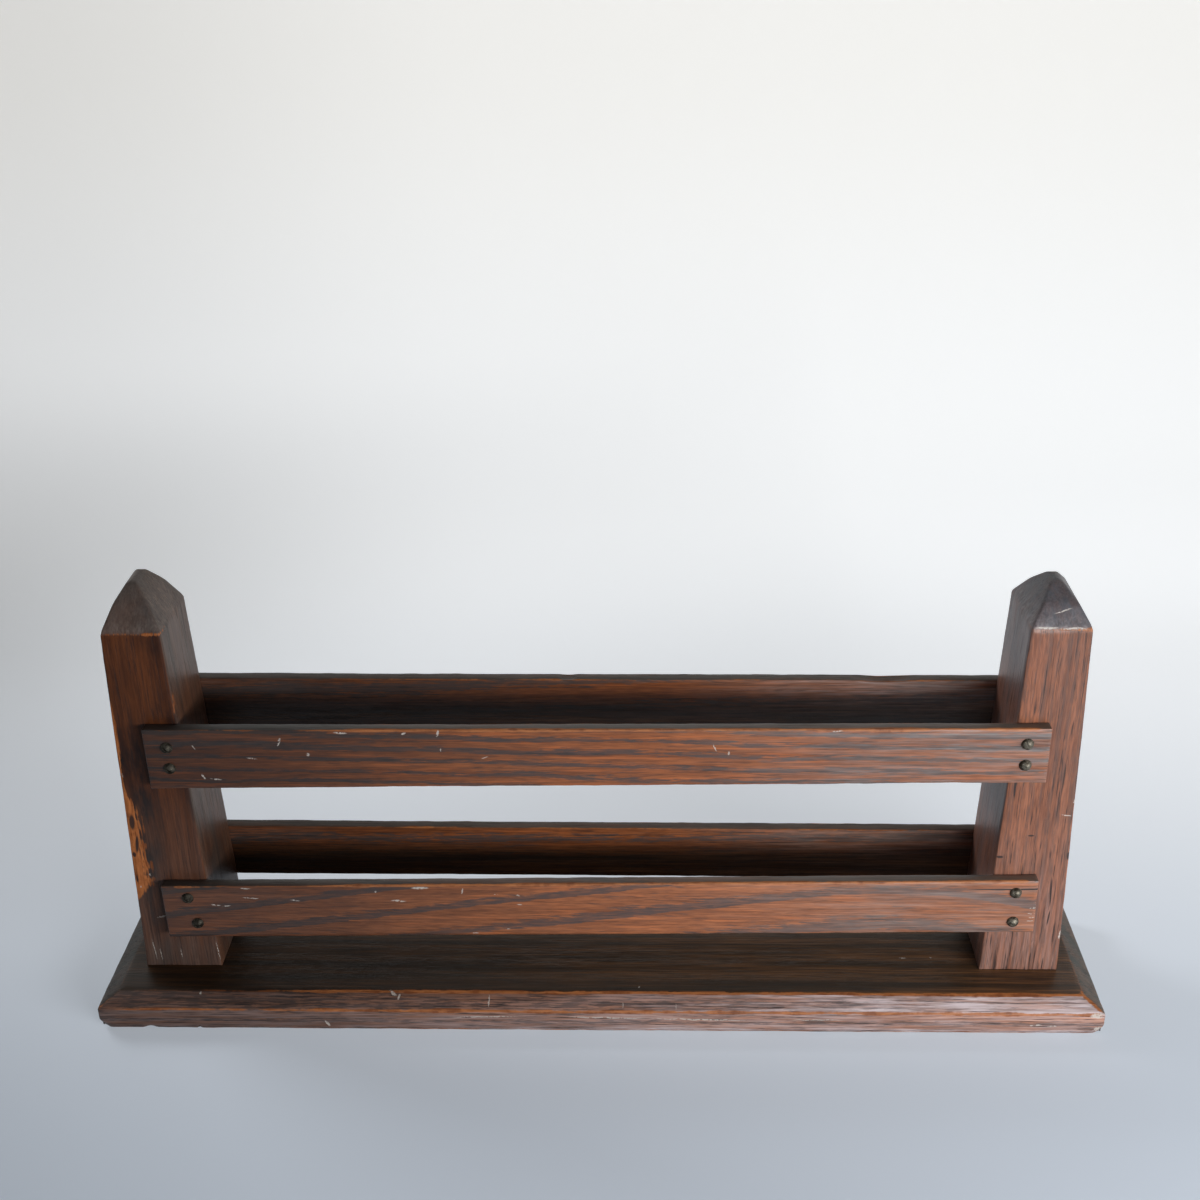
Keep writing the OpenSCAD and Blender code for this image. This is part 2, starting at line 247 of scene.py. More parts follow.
class BookStandSizes(bpy.types.PropertyGroup):
    """Sizes of the wooden pieces and their screws"""

    base: FloatVectorProperty(
        name="Base board",
        description="Length, depth and thickness of the base board",
        default=tuple(BASE_SIZE),
        size=3,
        subtype="XYZ",
        unit="LENGTH",
    )
    chamfer_run: FloatProperty(
        name="Chamfer run",
        description="Run of the chamfer round the top of the base board",
        default=0.0095,
        unit="LENGTH",
    )
    chamfer_drop: FloatProperty(
        name="Chamfer drop",
        description="Drop of the chamfer round the top of the base board",
        default=0.0045,
        unit="LENGTH",
    )
    post_foot: FloatVectorProperty(
        name="Post foot",
        description="Width and depth of a post at its foot",
        default=(0.040, 0.048),
        size=2,
        unit="LENGTH",
    )
    post_eave: FloatVectorProperty(
        name="Post eave",
        description="Width and depth of a post where its hipped top starts",
        default=(0.0285, 0.042),
        size=2,
        unit="LENGTH",
    )
    post_ridge: FloatVectorProperty(
        name="Post ridge",
        description="Width and length of the blunt ridge of a post",
        default=(0.0044, 0.0150),
        size=2,
        unit="LENGTH",
    )
    post_height: FloatProperty(
        name="Post height",
        description="Height of the left post's eave above the base board",
        default=0.193,
        unit="LENGTH",
    )
    right_eave_rise: FloatProperty(
        name="Right eave rise",
        description="How much higher the right post's eave is, along the same taper",
        default=0.002,
        unit="LENGTH",
    )
    roof_rise: FloatVectorProperty(
        name="Roof rise",
        description="Rise of the hipped tops of the left and right post above their eaves",
        default=(0.021, 0.0165),
        size=2,
        unit="LENGTH",
    )
    post_place: FloatVectorProperty(
        name="Post place",
        description="Distance of a post from the middle, along and across the base board",
        default=(0.215, 0.007),
        size=2,
        unit="LENGTH",
    )
    rail_section: FloatVectorProperty(
        name="Rail section",
        description="Thickness and height of a rail",
        default=(0.0064, 0.0315),
        size=2,
        unit="LENGTH",
    )
    screw_head: FloatVectorProperty(
        name="Screw head",
        description="Diameter and height of a rail screw's round head",
        default=(0.006, 0.0024),
        size=2,
        unit="LENGTH",
    )
    screw_shank: FloatVectorProperty(
        name="Screw shank",
        description="Diameter and length of a rail screw's shank",
        default=(0.0032, 0.016),
        size=2,
        unit="LENGTH",
    )
    sunk_head: FloatVectorProperty(
        name="Sunk head",
        description="Diameter and height of a base screw's countersunk head",
        default=(0.0084, 0.0024),
        size=2,
        unit="LENGTH",
    )
    sunk_shank: FloatVectorProperty(
        name="Sunk shank",
        description="Diameter and length of a base screw's shank",
        default=(0.0042, 0.0374),
        size=2,
        unit="LENGTH",
    )
    slot: FloatVectorProperty(
        name="Slot",
        description="Width and depth of a screwdriver slot",
        default=(0.0009, 0.0011),
        size=2,
        unit="LENGTH",
    )
    arris: FloatProperty(
        name="Arris",
        description="Rounding of the wooden edges",
        default=0.0008,
        unit="LENGTH",
    )
    wear: FloatProperty(
        name="Wear",
        description="How deep the wooden edges are worn",
        default=0.0007,
        unit="LENGTH",
    )


class BookStandFinish(bpy.types.PropertyGroup):
    """Colours of the wood, metal and stage"""

    rail_tone: FloatVectorProperty(
        name="Rail oak",
        description="Plain wood of the rails between the dark bands",
        default=(0.272, 0.086, 0.028),
        subtype="COLOR",
    )
    left_post_tone: FloatVectorProperty(
        name="Left post oak",
        description="Plain wood of the left post",
        default=(0.113, 0.036, 0.013),
        subtype="COLOR",
    )
    right_post_tone: FloatVectorProperty(
        name="Right post oak",
        description="Plain wood of the right post",
        default=(0.254, 0.098, 0.053),
        subtype="COLOR",
    )
    base_tone: FloatVectorProperty(
        name="Base oak",
        description="Plain wood of the base board's edges and chamfers",
        default=(0.324, 0.150, 0.089),
        subtype="COLOR",
    )
    # Its colour also darkens the deep coat: painted shade low on the rails' inner sides, darker wood with
    # painted shade on the base board's top, and the left post's darker inner side
    base_top_tone: FloatVectorProperty(
        name="Base top oak",
        description="Dark stained wood of the base board's top",
        default=(0.051, 0.0265, 0.011),
        subtype="COLOR",
    )
    band_tone: FloatVectorProperty(
        name="Dark bands",
        description="Porous bands of the growth rings, which took the most stain",
        default=(0.062, 0.056, 0.055),
        subtype="COLOR",
    )
    pore_tone: FloatVectorProperty(
        name="Pores",
        description="Open pores filled with stain and dirt",
        default=(0.022, 0.017, 0.017),
        subtype="COLOR",
    )
    # Partly dust and partly painted sheen: this grey on the tops of the rails stands for the pale wall they
    # mirror
    dust_and_sheen_tone: FloatVectorProperty(
        name="Dull wood",
        description="Grey-brown wood on the tops of the rails",
        default=(0.080, 0.068, 0.057),
        subtype="COLOR",
    )
    bare_tone: FloatVectorProperty(
        name="Bare wood",
        description="Wood laid bare along the worn edges",
        default=(0.470, 0.170, 0.055),
        subtype="COLOR",
    )
    nick_tone: FloatVectorProperty(
        name="Nicks",
        description="Pale fibres in nicks and scratches",
        default=(0.600, 0.550, 0.500),
        subtype="COLOR",
    )
    # Pale dried wood, and painted sheen where the haze coat grows towards the right
    haze_tone: FloatVectorProperty(
        name="Dry wood",
        description="Pale dry wood where the polish is rubbed thin",
        default=(0.40, 0.33, 0.30),
        subtype="COLOR",
    )
    steel_tone: FloatVectorProperty(
        name="Screw metal",
        description="Aged metal of the screws",
        default=(0.150, 0.136, 0.108),
        subtype="COLOR",
    )
    floor_tone: FloatVectorProperty(
        name="Floor",
        description="Plain pale floor",
        default=(0.50, 0.55, 0.62),
        subtype="COLOR",
    )
    floor_glow: FloatVectorProperty(
        name="Floor glow",
        description="What the camera sees on the floor beside the light of the lamps",
        default=(0.150, 0.170, 0.195),
        subtype="COLOR",
    )
    wall_glow: FloatVectorProperty(
        name="Wall glow",
        description="What the camera sees on the wall beside the light of the lamps",
        default=(0.640, 0.650, 0.660),
        subtype="COLOR",
    )
    wall_tone: FloatVectorProperty(
        name="Wall",
        description="Plain pale wall behind",
        default=(0.86, 0.87, 0.86),
        subtype="COLOR",
    )


class BookStandStage(bpy.types.PropertyGroup):
    """Camera and light"""

    eye: FloatVectorProperty(
        name="Camera place",
        description="Where the camera stands",
        default=(0.02435, -0.63004, 0.53521),
        subtype="TRANSLATION",
        unit="LENGTH",
    )
    pitch: FloatProperty(
        name="Pitch",
        description="How far the camera looks down",
        default=math.radians(26.517),
        subtype="ANGLE",
    )
    yaw: FloatProperty(
        name="Yaw",
        description="How far the camera looks to the right",
        default=math.radians(-1.879),
        subtype="ANGLE",
    )
    roll: FloatProperty(
        name="Roll",
        description="How far the camera leans",
        default=math.radians(-0.952),
        subtype="ANGLE",
    )
    lens: FloatProperty(
        name="Lens",
        description="Focal length in millimetres on a 36 mm sensor",
        default=45.363,
    )
    key_power: FloatProperty(
        name="Key light",
        description="Power of the large soft light at the right",
        default=8.0,
        unit="POWER",
    )
    back_power: FloatProperty(
        name="Back light",
        description="Power of the weak soft light behind at the left",
        default=0.6,
        unit="POWER",
    )
    sky: FloatProperty(
        name="Room light",
        description="Strength of the even light of the room",
        default=0.05,
    )


def sizes():
    return bpy.context.scene.book_stand_sizes


def tones():
    return bpy.context.scene.book_stand_finish


# Modelling steps

def start(name, adder, **settings):
    """Adds a primitive as a new piece and opens it in edit mode with nothing selected."""
    bpy.ops.object.select_all(action="DESELECT")
    adder(**settings)
    piece = bpy.context.object
    piece.name = name
    piece.data.name = name
    bpy.ops.object.transform_apply(location=True, rotation=True, scale=True)
    bpy.ops.object.mode_set(mode="EDIT")
    bpy.ops.mesh.select_all(action="DESELECT")
    return piece


def only(piece):
    """Selects one piece and makes it the active one."""
    bpy.ops.object.select_all(action="DESELECT")
    piece.select_set(True)
    bpy.context.view_layer.objects.active = piece


def start_block(name, size, middle):
    return start(name, bpy.ops.mesh.primitive_cube_add, size=1, location=middle, scale=size)


def choose(piece, kind, test):
    """Selects the verts, edges or faces of a piece in edit mode that pass a test."""
    bpy.ops.mesh.select_mode(type={"verts": "VERT", "edges": "EDGE", "faces": "FACE"}[kind])
    bpy.ops.mesh.select_all(action="DESELECT")
    shape = bmesh.from_edit_mesh(piece.data)
    found = [item for item in getattr(shape, kind) if test(item)]
    for item in found:
        item.select_set(True)
    shape.select_flush_mode()
    bmesh.update_edit_mesh(piece.data)
    if not found:
        raise RuntimeError(f"{piece.name}: no {kind} were found to work on")


def facing(axis, sign):
    return lambda face: face.normal[axis] * sign > 0.9


def running(axis, least, straight=0.97):
    """A test for edges that run along an axis and are longer than least."""

    def test(edge):
        way = edge.verts[1].co - edge.verts[0].co
        return way.length > least and abs(way[axis]) > straight * way.length

    return test


def sloping(least):
    """A test for the edges of hips, which run along none of the axes."""

    def test(edge):
        way = edge.verts[1].co - edge.verts[0].co
        return way.length > least and max(abs(x) for x in way) < 0.94 * way.length

    return test


def divide(piece, test, *cuts):
    """Cuts the edges that pass a test into equal lengths, once for each count of cuts."""
    for count in cuts:
        choose(piece, "edges", test)
        bpy.ops.mesh.subdivide(number_cuts=count)


def arrises(piece):
    """The edges of a piece in edit mode as pairs of points."""
    shape = bmesh.from_edit_mesh(piece.data)
    return np.array([[tuple(v.co) for v in edge.verts] for edge in shape.edges])


def soften(width):
    """Rounds every edge of the piece that is open in edit mode."""
    bpy.ops.mesh.select_mode(type="EDGE")
    bpy.ops.mesh.select_all(action="SELECT")
    bpy.ops.mesh.bevel(offset=width, segments=3, profile=0.5, affect="EDGES", clamp_overlap=True)


def points_of(piece):
    flat = np.zeros(len(piece.data.vertices) * 3, np.float32)
    piece.data.vertices.foreach_get("co", flat)
    return flat.reshape(-1, 3).astype(float)


def distance_to(points, lines):
    """Distance of each point to the nearest of some line segments."""
    best = np.full(len(points), 1.0)
    for a, b in lines:
        way = b - a
        share = np.clip(((points - a) @ way) / (way @ way), 0, 1)
        best = np.minimum(best, np.linalg.norm(points - a - share[:, None] * way, axis=1))
    return best


def paint(piece, name, values):
    """Keeps a value for each vertex, for the material to read."""
    layer = piece.data.attributes.new(name, "FLOAT", "POINT")
    layer.data.foreach_set("value", np.asarray(values, np.float32))


def weigh(piece, name, values):
    """Makes a vertex group from a value for each vertex."""
    group = piece.vertex_groups.new(name=name)
    for i in np.nonzero(np.asarray(values) > 0.001)[0]:
        group.add([int(i)], float(values[i]), "REPLACE")
    return group.name


def push(piece, group, depth, grain=None, middle=0.0):
    """Moves the weighted surface along its normals, evenly or by a cloudy texture of that grain."""
    step = piece.modifiers.new("push", "DISPLACE")
    step.vertex_group = group
    step.strength = depth
    step.mid_level = middle
    step.direction = "NORMAL"
    if grain:
        cloud = bpy.data.textures.new("worn_wood_" + piece.name, "CLOUDS")
        cloud.noise_scale = grain
        cloud.noise_depth = 3
        step.texture = cloud
        step.texture_coords = "LOCAL"
    bpy.ops.object.modifier_apply(modifier=step.name)


def normals_of(piece):
    flat = np.zeros(len(piece.data.vertices) * 3, np.float32)
    piece.data.vertex_normals.foreach_get("vector", flat)
    return flat.reshape(-1, 3).astype(float)


def ramp(values, low, high):
    """0 below low, 1 above high, with a smooth step between, for numbers in Python."""
    share = np.clip((np.asarray(values) - low) / (high - low), 0, 1)
    return share * share * (3 - 2 * share)


def age(piece, lines, strong, coats=None, still=None, bare=None, dents=()):
    """Wears and dents a wooden piece, and paints how worn, grey, dark and pale each place is: the grey is
    partly painted sheen, the dark partly painted shade and the pale partly painted sheen.
    """
    bpy.ops.object.mode_set(mode="OBJECT")
    points, normals = points_of(piece), normals_of(piece)
    nothing = np.zeros(len(points))
    away = distance_to(points, lines)
    local = strong(points)
    nick = nothing
    for place, reach, depth in dents:
        gap = np.linalg.norm((points - np.array(place)) / np.array(reach), axis=1)
        nick = np.maximum(nick, depth * ramp(1 - gap, 0.0, 0.8))
    worn = np.clip(1 - away / BARE_REACH, 0, 1) * local
    paint(piece, "wear", worn if bare is None else np.maximum(worn, bare(points)))
    for name in ("dull", "deep", "haze"):
        maker = (coats or {}).get(name)
        paint(piece, name, maker(points, normals) if maker else nothing)
    edge = weigh(piece, "edge", np.clip(1 - away / WORN_REACH, 0, 1) * np.clip(local, 0, 1))
    push(piece, edge, -sizes().wear, WORN_GRAIN)
    firm = nothing if still is None else still(points, normals)
    push(piece, weigh(piece, "whole", 1 - firm), HAND_WAVE, HAND_WAVE_GRAIN, 0.5)
    if dents:
        push(piece, weigh(piece, "dents", np.clip(nick / DENT_DEPTH, 0, 1)), -DENT_DEPTH)
    piece.vertex_groups.clear()
    bpy.ops.object.shade_smooth()


def cut_away(piece, cutter):
    """Cuts one closed shape out of a piece and removes the cutter."""
    bpy.context.view_layer.objects.active = piece
    cut = piece.modifiers.new("cut", "BOOLEAN")
    cut.operation = "DIFFERENCE"
    cut.solver = "EXACT"
    cut.object = cutter
    bpy.ops.object.modifier_apply(modifier=cut.name)
    bpy.data.objects.remove(cutter, do_unlink=True)


def finish_piece(piece, node, material, place=None):
    """Puts a piece in its place, gives it its material, and lets it stand for its node."""
    only(piece)
    if place is not None:
        piece.data.transform(place)
        piece.data.update()
    piece.data.materials.clear()
    piece.data.materials.append(material)
    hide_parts(node)
    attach(piece, "root")


# Material steps

class Wire:
    """One socket of a material. Sums of wires add Math nodes, and node() adds any other node."""

    def __init__(self, tree, socket=None):
        self.tree = tree
        self.socket = socket

    def node(self, kind, settings=None, sockets=None, out=0):
        made = self.tree.nodes.new(kind)
        for key, value in (settings or {}).items():
            setattr(made, key, value)
        for key, value in (sockets or {}).items():
            if isinstance(value, Wire):
                self.tree.links.new(value.socket, made.inputs[key])
            else:
                made.inputs[key].default_value = value
        return Wire(self.tree, made.outputs[out] if made.outputs else None)

    def math(self, operation, *terms, clamp=False):
        settings = {"operation": operation, "use_clamp": clamp}
        return self.node("ShaderNodeMath", settings, dict(enumerate(terms)))

    def __add__(self, other):
        return self.math("ADD", self, other)

    __radd__ = __add__

    def __sub__(self, other):
        return self.math("SUBTRACT", self, other)

    def __rsub__(self, other):
        return self.math("SUBTRACT", other, self)

    def __mul__(self, other):
        return self.math("MULTIPLY", self, other)

    __rmul__ = __mul__

    def __truediv__(self, other):
        return self.math("DIVIDE", self, other)

    def __rtruediv__(self, other):
        return self.math("DIVIDE", other, self)

    def __pow__(self, other):
        return self.math("POWER", self, other)

    def clip(self):
        return self.math("ADD", self, 0.0, clamp=True)

    def between(self, low, high):
        """0 below low, 1 above high, with a smooth step from one to the other."""
        settings = {"interpolation_type": "SMOOTHSTEP"}
        sockets = {"Value": self, "From Min": low, "From Max": high, "To Min": 0.0, "To Max": 1.0}
        return self.node("ShaderNodeMapRange", settings, sockets)

    def blend(self, first, second, share):
        """Mixes two colours by a share from 0 to 1."""
        settings = {"data_type": "RGBA", "blend_type": "MIX", "clamp_factor": True}
        pair = [x if isinstance(x, Wire) else (*x[:3], 1.0) for x in (first, second)]
        return self.node("ShaderNodeMix", settings, {0: share, 6: pair[0], 7: pair[1]}, 2)

    def noise(self, place, scale=1.0, detail=2.0, rough=0.5):
        sockets = {"Vector": place, "Scale": scale, "Detail": detail, "Roughness": rough}
        return self.node("ShaderNodeTexNoise", {"noise_dimensions": "3D"}, sockets)

    def vector(self, x, y, z):
        return self.node("ShaderNodeCombineXYZ", None, {"X": x, "Y": y, "Z": z})

    def part(self, axis):
        return self.node("ShaderNodeSeparateXYZ", None, {"Vector": self}, axis)


def blank_material(name):
    """A new material and the wire that its nodes are added through."""
    material = bpy.data.materials.new(name)
    material.use_nodes = True
    material.node_tree.nodes.clear()
    return material, Wire(material.node_tree)


def surface(tools, shader):
    tools.node("ShaderNodeOutputMaterial", None, {"Surface": shader})


def spots(tools, place, marks):
    """A mask of small long marks. A mark is (place, half sizes, turn about Y in degrees)."""
    mask = None
    for middle, half, turn in marks:
        settings = {"vector_type": "TEXTURE"}
        long = max(half[0], half[2])
        sockets = {
            "Vector": place,
            "Location": middle,
            "Rotation": (0.0, math.radians(turn), 0.0),
            "Scale": [h * (0.95 if h == long else 0.66) for h in half],
        }
        local = tools.node("ShaderNodeMapping", settings, sockets)
        length = local.node("ShaderNodeVectorMath", {"operation": "LENGTH"}, {0: local}, 1)
        one = (1.0 - length).between(0.0, 0.45)
        mask = one if mask is None else mask.math("MAXIMUM", mask, one)
    return mask


def shade_of(tone, *shares):
    """A colour made lighter or darker, channel by channel."""
    return [c * s for c, s in zip(tone, shares)]


def oak(name, tone, grain=0, pith=(-0.12, 0.03), rise=(0.0, 0.0, 0.0), ring=0.006, shift=0.0, uneven=0.8,
        wave=0.004, duty=0.5, crisp=0.35, ragged=1.0, band=0.85, pore=0.5, patch=0.3, torn=1.0, seed=0.0,
        flame=0.0, veil=(1.0, 0.7), dark=None, haze=None, dull=None, bare=None, nicks=(), stains=(), dim=None,
        gloss=0.5, sharp=1.0):
    """Stained oak. Rings lie round a pith line beside the piece, and pores run along the grain.

    The piece's own "wear", "dull", "deep" and "haze" values say where it is bare, where it is grey with dust
    and painted sheen, where it is dark, much of it painted shade, and where it is pale, partly dried wood and
    partly painted sheen.
    """
    look = tones()
    dark, haze = dark or look.band_tone, haze or look.haze_tone
    dull, bare = dull or look.dust_and_sheen_tone, bare or look.bare_tone
    material, tools = blank_material(name)
    place = tools.node("ShaderNodeTexCoord", None, None, 3)
    x, y, z = (place.part(axis) for axis in range(3))
    along, up, deep = (x, z, y) if grain == 0 else (z, x, y)

    def fibres(lengthwise, across, detail=2.0, rough=0.5):
        spot = tools.vector(along * lengthwise + seed, up * across, deep * across + seed)
        return tools.noise(spot, 1.0, detail, rough)

    def clouds(scale, detail=2.0, rough=0.5):
        spot = tools.vector(x * scale + seed, y * scale, z * scale)
        return tools.noise(spot, 1.0, detail, rough)

    def coat(attribute):
        return tools.node("ShaderNodeAttribute", {"attribute_name": attribute}, None, 2)

    # Waves, fibres and flecks, by how many there are to a metre along and across the grain
    slow = fibres(5.0, 24.0)
    wander = fibres(22.0, 80.0)
    fine = fibres(34.0, 950.0, 3.0, 0.6).between(0.34, 0.66)
    hair = fibres(60.0, 2400.0, 2.0, 0.6).between(0.34, 0.66)
    dash = fibres(130.0, 1150.0).between(0.36, 0.64)
    tear = fibres(95.0, 1000.0, 3.0, 0.65).between(0.34, 0.66)
    streak = fibres(6.0, 190.0, 3.0).between(0.32, 0.68)
    lines = fibres(26.0, 1000.0).between(0.55, 0.64)
    bright = fibres(28.0, 620.0).between(0.54, 0.68)
    cloud = fibres(9.0, 40.0, 3.0).between(0.32, 0.68)
    blotch = fibres(45.0, 130.0, 3.0, 0.6).between(0.36, 0.64)
    dusty = fibres(30.0, 420.0, 3.0, 0.6).between(0.36, 0.64)

    # Rings of pores
    bend = along.math("MAXIMUM", along - rise[2], 0.0)
    height = up - pith[0] - along * rise[0] + bend * bend * rise[1]
    height = height + (slow - 0.5) * wave + (wander - 0.5) * (wave * 0.45)
    inward = deep - pith[1]
    turns = (height * height + inward * inward) ** 0.5 / ring + shift
    turns = turns + (tools.noise(tools.vector(turns * 0.6, seed, 0.5), 1.0, 1.0) - 0.5) * uneven
    turns = turns + (fine - 0.5) * 0.04
    count = turns.math("FLOOR", turns)
    each = tools.noise(tools.vector(count * 5.37, seed, 0.5), 1.0, 0.0)
    phase = turns - count
    body = phase.between(0.0, crisp) * (1.0 - phase.between(duty * 0.35, duty * 1.6))
    body = body * (0.7 + each * 0.6)
    early = body * 1.1 + (tear - 0.5) * ragged + (fine - 0.5) * 0.30 + (cloud - 0.5) * 0.30
    early = early.between(0.34, 0.78)
    pores = lines * (0.35 + dash * 0.65)

    # Stained wood with its coats
    wood = tools.blend(shade_of(tone, 0.74, 0.70, 0.66), shade_of(tone, 1.34, 1.36, 1.36), streak)
    wood = tools.blend(wood, shade_of(tone, 0.50, 0.47, 0.48), fine * (0.45 * sharp))
    wood = tools.blend(wood, shade_of(tone, 1.90, 1.90, 1.80), hair * (0.34 * sharp))
    wood = tools.blend(wood, shade_of(tone, 0.40, 0.36, 0.38), dash * (0.38 * sharp))
    wood = tools.blend(wood, shade_of(tone, 2.2, 1.95, 1.6), bright * flame)
    wood = tools.blend(wood, dark, early * band * (0.76 + dash * 0.24))
    wood = tools.blend(wood, dark, (blotch * 0.6 + cloud * 0.4) * cloud * patch)
    # The dull coat turns the wood grey: partly dust, partly painted sheen on tops, hips and inner sides that
    # would mirror the pale wall
    greys = coat("dull")
    grey_dust_and_sheen = tools.blend(dull, shade_of(dull, 0.72, 0.72, 0.74), fine)
    grey_dust_and_sheen = tools.blend(grey_dust_and_sheen, shade_of(dull, 1.6, 1.5, 1.5), blotch * 0.40)
    wood = tools.blend(wood, grey_dust_and_sheen, greys * (0.80 + streak * 0.20))
    # The haze coat lays pale dried wood over the grain, and towards the right painted sheen
    dry_and_sheen = tools.blend(haze, shade_of(haze, 0.62, 0.54, 0.50), fine)
    thin = (0.18 + dusty * 0.57 + streak * 0.25) * (veil[0] + early * (veil[1] - veil[0]))
    wood = tools.blend(wood, dry_and_sheen, coat("haze") * thin)
    wood = tools.blend(wood, look.pore_tone, pores * pore * (1.0 - greys * 0.8))
    # The deep coat darkens the wood: painted shade low in the trough between the rails, darker wood with
    # painted shade on the base board's top, and a darker inner side on the left post
    dark_stain_and_shade_tone = look.base_top_tone
    dark_stain_and_shade = tools.blend(shade_of(dark_stain_and_shade_tone, 0.6, 0.6, 0.6), shade_of(dark_stain_and_shade_tone, 2.3, 2.0, 1.9), streak)
    dark_stain_and_shade = tools.blend(dark_stain_and_shade, shade_of(look.pore_tone, 0.5, 0.5, 0.4), fine * 0.70)
    wood = tools.blend(wood, dark_stain_and_shade, coat("deep"))
    # dim darkens the wood towards the left, partly darker wood and partly painted shade, and on the base
    # board lightens the right as painted light
    if dim is not None:
        level = dim[2] + x.between(dim[0], dim[1]) * (dim[3] - dim[2])
        wood = tools.node("ShaderNodeHueSaturation", None, {"Color": wood, "Value": level})

    # Worn edges, splits and nicks
    rub = clouds(130.0, 3.0, 0.6)
    wide = clouds(30.0)
    worn = coat("wear") + ((rub - 0.5) * 0.8 + (wide - 0.5) * 0.7 + (fine - 0.5) * 0.22) * torn
    worn = worn.between(0.84, 1.08)
    faded = (fine * 0.22 + rub * 0.8).between(0.48, 0.72)
    fresh = tools.blend(bare, shade_of(bare, 0.40, 0.34, 0.32), faded)
    fresh = tools.blend(fresh, shade_of(bare, 0.45, 0.36, 0.30), dash * 0.45)
    wood = tools.blend(wood, fresh, worn * 0.92)
    if stains:
        wood = tools.blend(wood, look.pore_tone, spots(tools, place, stains) * 0.92)
    rough = 0.36 + pores * 0.15 + worn * 0.15 + greys * 0.08 + (cloud - 0.5) * 0.05
    relief = fine * 0.12 + hair * 0.06 - pores * 0.5 - early * 0.4
    if nicks:
        jitter = clouds(900.0)
        shake = tools.vector((jitter - 0.5) * 0.0016, 0.0, (rub - 0.5) * 0.0022)
        moved = tools.node("ShaderNodeVectorMath", {"operation": "ADD"}, {0: place, 1: shake})
        chips = spots(tools, moved, nicks) * jitter.between(0.34, 0.52)
        wood = tools.blend(wood, look.nick_tone, chips * 0.85)
        rough = rough + chips * 0.2
        relief = relief - chips * 0.9
    bump = tools.node("ShaderNodeBump", None, {"Strength": 0.30, "Distance": 0.0004, "Height": relief})
    sockets = {"Base Color": wood, "Roughness": rough.clip(), "Normal": bump, "Specular IOR Level": gloss}
    surface(tools, tools.node("ShaderNodeBsdfPrincipled", None, sockets))
    return material


def aged_metal(name, seed):
    """Dull screw metal with brown tarnish and bright rubbed spots, darker towards the left as painted shade.
    """
    look = tones()
    material, tools = blank_material(name)
    place = tools.node("ShaderNodeTexCoord", None, None, 3)
    cloud = tools.noise(place, 420.0 + seed, 4.0)
    fine = tools.noise(place, 1900.0 + seed, 3.0)
    dark = shade_of(look.steel_tone, 0.30, 0.27, 0.24)
    bright = shade_of(look.steel_tone, 2.6, 2.5, 2.3)
    metal = tools.blend(look.steel_tone, dark, cloud.between(0.40, 0.62))
    metal = tools.blend(metal, bright, fine.between(0.56, 0.72) * (1.0 - cloud.between(0.45, 0.60)))
    # rubbed is the share towards the right, where the screws are smoother; their darkening towards the left
    # is painted shade, as the light falls from the right
    rubbed = place.part(0).between(-0.20, 0.15)
    level = 0.40 + rubbed * 0.60
    metal = tools.node("ShaderNodeHueSaturation", None, {"Color": metal, "Value": level})
    rough = 0.52 - rubbed * 0.14 + cloud * 0.22 + fine * 0.10
    relief = {"Strength": 0.30, "Distance": 0.00015, "Height": fine + cloud}
    bump = tools.node("ShaderNodeBump", None, relief)
    sockets = {"Base Color": metal, "Roughness": rough.clip(), "Metallic": 0.85, "Normal": bump}
    surface(tools, tools.node("ShaderNodeBsdfPrincipled", None, sockets))
    return material


# Pieces

def base_screw_place(end, back):
    """Where a base screw comes up through the underside, under the post at one end."""
    along, across = sizes().post_place
    return Vector((end * along, across + back * BASE_SCREW_SPREAD, 0.0))


